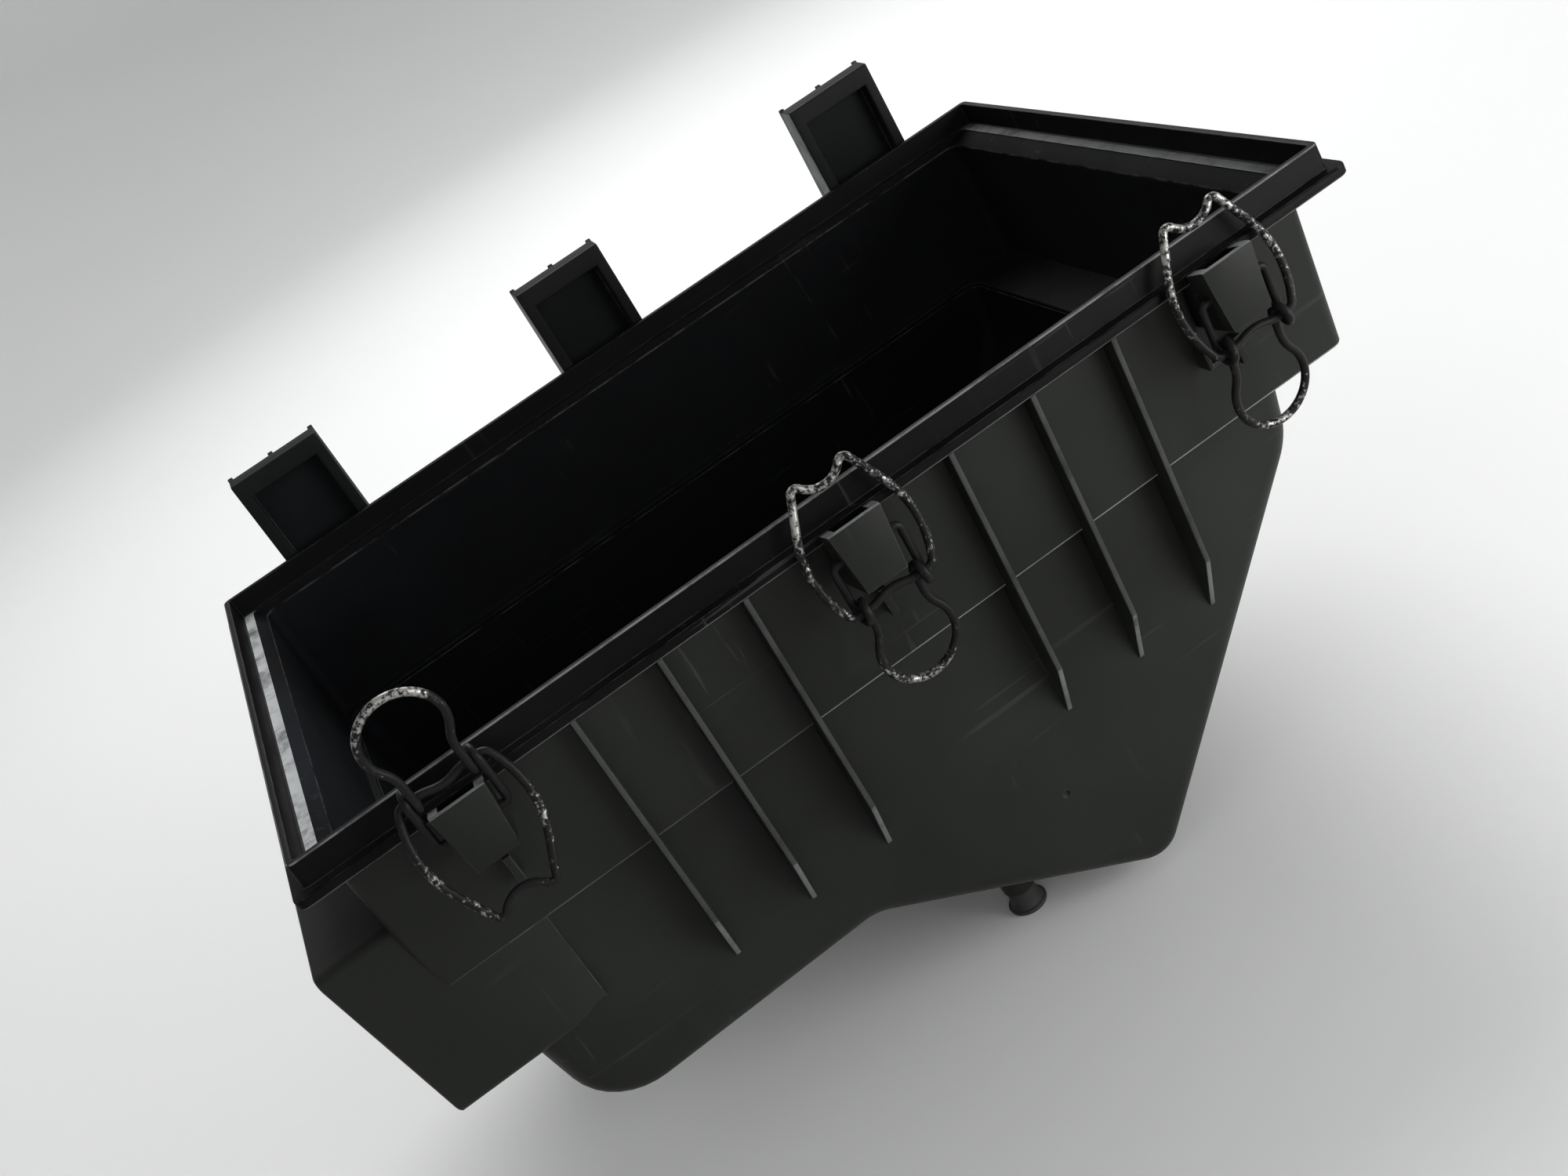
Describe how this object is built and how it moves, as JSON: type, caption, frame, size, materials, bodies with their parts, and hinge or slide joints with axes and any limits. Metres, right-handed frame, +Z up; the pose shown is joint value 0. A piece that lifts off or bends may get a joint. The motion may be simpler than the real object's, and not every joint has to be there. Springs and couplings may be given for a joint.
{
  "type": "air filter housing base",
  "caption": "Open lower half of a rectangular air filter housing with a sloping hopper, an inlet snout, hinge sockets and wire toggle latches.",
  "frame": {"origin": "middle of the bounding box, on the plane that the rubber feet stand on", "axes": "+X along the mouth towards the deep end's shelf, +Y from the latches to the hinge sockets, +Z up out of the mouth"},
  "size_m": [0.4436, 0.3245, 0.2802],
  "materials": {
    "black_plastic": "moulded black polypropylene, dusty and lightly scuffed",
    "rim_plastic": "moulded black polypropylene, smoother, with edges worn bright",
    "steel_wire": "blackened zinc-plated wire, rubbed bright on the outer bends, with a little rust",
    "rubber": "matt black rubber"
  },
  "bodies": {
    "housing": {"mouth_rim": "rim_plastic", "box_walls": "black_plastic", "hopper": "black_plastic", "inlet_snout": "black_plastic", "front_ribs": "black_plastic", "hinge_socket_left": "black_plastic", "hinge_socket_middle": "black_plastic", "hinge_socket_right": "black_plastic", "latch_boss_left": "black_plastic", "latch_boss_middle": "black_plastic", "latch_boss_right": "black_plastic", "foot_post_front": "black_plastic", "foot_post_back_left": "black_plastic", "foot_post_back_right": "black_plastic", "rubber_foot_front": "rubber", "rubber_foot_back_left": "rubber", "rubber_foot_back_right": "rubber"},
    "lever_left": {"lever_left": "steel_wire"},
    "bail_left": {"bail_left": "steel_wire"},
    "lever_middle": {"lever_middle": "steel_wire"},
    "bail_middle": {"bail_middle": "steel_wire"},
    "lever_right": {"lever_right": "steel_wire"},
    "bail_right": {"bail_right": "steel_wire"}
  },
  "joints": [
    {"name": "lever_left_throw", "type": "hinge", "parent": "housing", "child": "lever_left", "pos_m": [-0.14675, -0.14875, 0.218], "axis": [1, 0, 0], "range_deg": [0, 176]},
    {"name": "bail_left_swing", "type": "hinge", "parent": "lever_left", "child": "bail_left", "pos_m": [-0.14675, -0.14776, 0.23682], "axis": [1, 0, 0], "range_deg": [-352, 0]},
    {"name": "lever_middle_throw", "type": "hinge", "parent": "housing", "child": "lever_middle", "pos_m": [0.00725, -0.14875, 0.218], "axis": [-1, 0, 0], "range_deg": [0, 176]},
    {"name": "bail_middle_swing", "type": "hinge", "parent": "lever_middle", "child": "bail_middle", "pos_m": [0.00725, -0.15105, 0.19929], "axis": [-1, 0, 0], "range_deg": [-352, 0]},
    {"name": "lever_right_throw", "type": "hinge", "parent": "housing", "child": "lever_right", "pos_m": [0.16125, -0.14875, 0.218], "axis": [-1, 0, 0], "range_deg": [0, 176]},
    {"name": "bail_right_swing", "type": "hinge", "parent": "lever_right", "child": "bail_right", "pos_m": [0.16125, -0.15105, 0.19929], "axis": [-1, 0, 0], "range_deg": [-352, 0]}
  ],
  "couplings": [
    {"joint": "bail_left_swing", "follows": "lever_left_throw", "ratio": -2},
    {"joint": "bail_middle_swing", "follows": "lever_middle_throw", "ratio": -2},
    {"joint": "bail_right_swing", "follows": "lever_right_throw", "ratio": -2}
  ]
}
